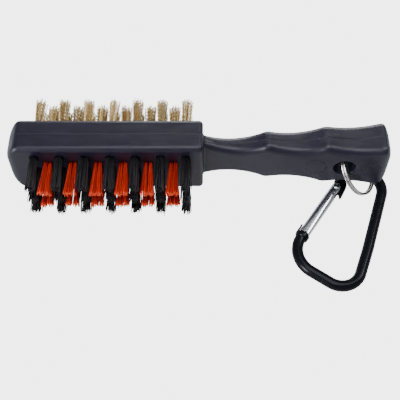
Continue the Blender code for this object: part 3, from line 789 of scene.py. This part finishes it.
def bar_path():
    """Centre line of the bent bar, from its nose round to the hinge."""
    corners = [
        (gate_point(GATE_LENGTH + NOSE_GAP), 0.0),
        (Vector((-0.0278, -0.0375, 0.0)), 0.0127),
        (Vector((0.0035, -0.0580, 0.0)), 0.0098),
        (Vector((0.0124, -0.0338, 0.0)), 0.0600),
        (Vector((0.0310, 0.0235, 0.0)), 0.0106),
        (gate_point(-0.0100), 0.0045),
        (gate_point(-HINGE_END), 0.0),
    ]
    return filleted_path(corners)


def tongue_mesh():
    """Pressed flat tongue: neck, eye round the rivet and the tail that hooks the plunger."""
    eye = 0.0021
    outline = [(-0.0062, 0.0022), (-0.0060, -0.0022), (-0.0026, -0.0024), (-0.0012, -0.0019)]
    for step in range(13):
        angle = math.radians(-75.0 + 7.5 * step)
        outline.append((eye * math.cos(angle), eye * math.sin(angle)))
    outline += [(0.0026, 0.0031), (0.0038, 0.0038), (0.0040, 0.0046), (0.0031, 0.0049)]
    outline += [(-0.0004, 0.0045), (-0.0033, 0.0041), (-0.0048, 0.0034)]
    work = bmesh.new()
    levels = (-TONGUE_HALF_THICKNESS, TONGUE_HALF_THICKNESS)
    loft(work, [[Vector((x, y, z)) for x, y in outline] for z in levels])
    mesh = closed_mesh(work, "tongue")
    mesh.transform(GATE_TURN)
    return mesh


def make_bar(material):
    """The bent bar joined with its nose, lip and hinge tongue, drilled for the rivet."""
    work = bmesh.new()
    path = bar_path()
    tube(work, path, [BAR_RADIUS] * len(path), 28)
    bar = closed_mesh(work, "bar")
    face, rim, overlap = GATE_LENGTH + NOSE_GAP, 0.0003, 0.00001
    top, bottom = face + NOSE_LENGTH, face - overlap
    nose = lathe_mesh("nose", [
        (0.0, top), (NOSE_RADIUS - rim, top), (NOSE_RADIUS, top - rim),
        (NOSE_RADIUS, face + rim * 0.5), (NOSE_RADIUS - rim * 0.5, bottom), (0.0, bottom)], 48)
    nose.transform(ALONG_GATE)
    lip_length = LIP_REACH + NOSE_GAP + NOSE_LENGTH * 0.6
    lip_across = -(GATE_RADIUS + FIT_GAP + LIP_THICKNESS / 2.0)
    lip_place = Matrix.Translation((GATE_LENGTH - LIP_REACH + lip_length / 2.0, lip_across, 0.0))
    lip = box_mesh("lip", GATE_TURN @ lip_place, (lip_length, LIP_THICKNESS, LIP_WIDTH))
    joined = combine(bar, [nose, lip, tongue_mesh()], "UNION")
    eye = cylinders("eye", [(Matrix(), RIVET_RADIUS + 0.0002, 0.004)], 32)
    joined = combine(joined, [eye])
    mesh = bevelled(joined, 0.00014)
    add_piece("clip_bar", mesh, material, "carabiner", ["carabiner_bar"], CLIP)


def make_gate(material):
    """Polished tube with a domed hinge end, a slot for the tongue and a seat for each rivet head."""
    chamfer = 0.00035
    profile = [
        (0.0, GATE_LENGTH), (GATE_RADIUS - chamfer, GATE_LENGTH),
        (GATE_RADIUS, GATE_LENGTH - chamfer), (GATE_RADIUS, SLOT_DEPTH)]
    for step in range(13):
        angle = math.radians(90.0 - 7.5 * step)
        radius = GATE_RADIUS * math.sin(angle) if step < 12 else 0.0
        profile.append((radius, -GATE_RADIUS * math.cos(angle)))
    tube_mesh = lathe_mesh("gate_tube", profile, 64)
    tube_mesh.transform(ALONG_GATE)
    slot_length, slot_reach = SLOT_DEPTH + 0.004, 0.006
    slot_place = GATE_TURN @ Matrix.Translation((SLOT_DEPTH - slot_length / 2.0, 0.0, 0.0))
    slot = box_mesh("slot", slot_place, (slot_length, slot_reach, 2.0 * SLOT_HALF_WIDTH))
    bore_start = SLOT_DEPTH - 0.0005
    bore_place = ALONG_GATE @ Matrix.Translation((0.0, 0.0, (bore_start + BORE_END) / 2.0))
    bore = cylinders("bore", [(bore_place, BORE_RADIUS, BORE_END - bore_start)], 32)
    past = 0.0040
    seat, hole = RIVET_HEAD_RADIUS + 0.0002, RIVET_RADIUS + 0.0001
    reel = [(0.0, past), (seat, past), (seat, RIVET_SEAT), (hole, RIVET_SEAT)]
    reel += [(x, -z) for x, z in reversed(reel)]
    mesh = combine(tube_mesh, [slot, bore, lathe_mesh("rivet_hole", reel, 48)])
    mesh = bevelled(mesh, 0.00010)
    add_piece("gate_tube", mesh, material, "gate", ["gate"], CLIP)


def make_rivet(material):
    """Domed rivet with a shallow dimple in each head."""
    base, height = RIVET_SEAT + 0.00005, 0.0007
    profile = [(0.0, base + height - 0.00012), (RIVET_HEAD_RADIUS * 0.22, base + height - 0.00008)]
    for step in range(9):
        t = step / 8.0
        radius = RIVET_HEAD_RADIUS * (0.32 + 0.68 * math.sin(math.radians(90.0 * t)))
        profile.append((radius, base + height * math.cos(math.radians(78.0 * t)) ** 0.8))
    profile += [(RIVET_HEAD_RADIUS, base), (RIVET_RADIUS, base)]
    profile += [(x, -z) for x, z in reversed(profile)]
    mesh = lathe_mesh("rivet", profile, 40)
    add_piece("rivet", mesh, material, "gate", ["gate_rivet"], CLIP)


def make_plunger(material):
    """A pin with a domed end, which the spring presses against the tongue's tail."""
    start, end = SLOT_DEPTH + 0.0002, SLOT_DEPTH + 0.0030
    radius, dome = BORE_RADIUS - 0.0002, 0.0006
    profile = [(0.0, end), (radius, end), (radius, start + dome)]
    for step in range(1, 7):
        angle = math.radians(15.0 * step)
        side = radius * math.cos(angle) if step < 6 else 0.0
        profile.append((side, start + dome - dome * math.sin(angle)))
    mesh = lathe_mesh("plunger", profile, 32)
    add_piece("plunger", mesh, material, "gate", ["gate_plunger"], CLIP @ ALONG_GATE)


def make_spring(material):
    wire, turns, per_turn = 0.0002, 6, 24
    start = SLOT_DEPTH + 0.0030 + wire + 0.0002
    end = BORE_END - wire - 0.0002
    radius = BORE_RADIUS - wire - 0.0002
    points = []
    for step in range(turns * per_turn + 1):
        angle = math.tau * step / per_turn
        rise = start + (end - start) * step / (turns * per_turn)
        points.append(Vector((radius * math.cos(angle), radius * math.sin(angle), rise)))
    work = bmesh.new()
    tube(work, points, [wire] * len(points), 10)
    bmesh.ops.recalc_face_normals(work, faces=work.faces)
    mesh = mesh_of(work, "spring")
    add_piece("spring", mesh, material, "gate", ["gate_spring"], CLIP @ ALONG_GATE)


# ---------------------------------------------------------------- floor, light and camera


def white_to_camera(tree, lit, glow, output):
    """Shows an even white to the camera while the object is lit by the plain surface."""
    seen = tree.nodes.new("ShaderNodeLightPath")
    mix = tree.nodes.new("ShaderNodeMixShader")
    tree.links.new(seen.outputs["Is Camera Ray"], mix.inputs[0])
    tree.links.new(lit, mix.inputs[1])
    tree.links.new(glow, mix.inputs[2])
    tree.links.new(mix.outputs[0], output.inputs["Surface"])


def make_floor():
    work = bmesh.new()
    place = Matrix.Translation((0.0, 0.0, -FLOOR_DROP))
    bmesh.ops.create_grid(work, x_segments=1, y_segments=1, size=FLOOR_HALF_SIZE, matrix=place)
    mesh = plain_mesh(work, "floor")
    s = Shader("white_sweep", (0.62, 0.62, 0.62), 0.9)
    s.set(s.surface, "Specular IOR Level", 0.1)
    glow = s.node("ShaderNodeEmission")
    s.set(glow, "Strength", BACKDROP_GLOW)
    white_to_camera(s.tree, s.surface.outputs["BSDF"], glow.outputs[0], s.tree.nodes["Material Output"])
    mesh.materials.append(s.material)
    floor = new_object("floor", mesh)


def add_softbox(name, position, aim, size, power, colour=(1.0, 1.0, 1.0)):
    light = bpy.data.lights.new(name, "AREA")
    light.shape = "RECTANGLE"
    light.size, light.size_y = size
    light.energy = power
    light.color = colour
    lamp = new_object(name, light)
    lamp.location = position
    lamp.rotation_euler = (Vector(aim) - Vector(position)).to_track_quat("-Z", "Y").to_euler()


def make_light():
    """A dim even world and four softboxes: overhead, left, right, and one on the brass face."""
    world = bpy.data.worlds.new("studio")
    world.use_nodes = True
    background = world.node_tree.nodes["Background"]
    background.inputs["Color"].default_value = (0.95, 0.97, 1.0, 1.0)
    background.inputs["Strength"].default_value = 0.27
    glow = world.node_tree.nodes.new("ShaderNodeBackground")
    glow.inputs["Strength"].default_value = BACKDROP_GLOW
    glow.inputs["Color"].default_value = (1.0, 1.0, 1.0, 1.0)
    output = world.node_tree.nodes["World Output"]
    white_to_camera(world.node_tree, background.outputs[0], glow.outputs[0], output)
    bpy.context.scene.world = world
    cool = (0.94, 0.94, 1.0)
    add_softbox("overhead", (0.05, -0.05, 0.8), (0.0, 0.0, 0.0), (0.8, 0.4), 3.7, cool)
    add_softbox("left", (-0.65, -0.5, 0.3), (-0.05, 0.0, 0.0), (0.3, 0.5), 8.0, cool)
    add_softbox("right", (0.62, 0.14, 0.72), (0.05, 0.0, 0.0), (0.25, 0.25), 2.0, cool)
    add_softbox("brass side", (0.1, 0.75, 0.3), (0.0, 0.0, 0.0), (0.6, 0.25), 4.5)


def make_camera():
    """Looks down at 57 degrees from in front; placed in the brush's own frame."""
    elevation, turn, roll = math.radians(57.0), math.radians(-0.504), math.radians(0.404)
    aim, distance = Vector((0.04573, -0.01597, 0.0)), 0.3866
    level_reach = math.cos(elevation)
    forward = Vector((math.sin(turn) * level_reach, math.cos(turn) * level_reach, -math.sin(elevation)))
    right = Vector((math.cos(turn), -math.sin(turn), 0.0))
    up = right.cross(forward)
    level = Matrix((right, up, -forward)).transposed()
    rolled = level @ Matrix.Rotation(-roll, 3, "Z")
    pose = Matrix.Translation(aim - forward * distance) @ rolled.to_4x4()
    data = bpy.data.cameras.new("camera")
    data.lens = 71.26
    data.sensor_width = 36.0
    data.clip_start, data.clip_end = 0.01, 10.0
    camera = new_object("camera", data)
    camera.matrix_world = BRUSH @ pose
    bpy.context.scene.camera = camera


def main():
    make_body(charcoal_plastic())
    dark_black, light_black, black_tip = (0.002, 0.002, 0.003), (0.009, 0.009, 0.011), (0.016, 0.016, 0.018)
    dark_orange, light_orange, orange_tip = (0.36, 0.006, 0.0), (0.90, 0.038, 0.001), (0.95, 0.09, 0.02)
    black = nylon("black_filament", dark_black, light_black, 0.36, black_tip)
    orange = nylon("orange_filament", dark_orange, light_orange, 0.42, orange_tip)
    make_nylon(black, orange)
    make_brass(brass_wire())
    make_ring(nickel())
    make_bar(black_anodised())
    make_gate(bright_aluminium())
    make_rivet(bright_aluminium())
    make_plunger(spring_steel())
    make_spring(spring_steel())
    make_floor()
    make_light()
    make_camera()


main()
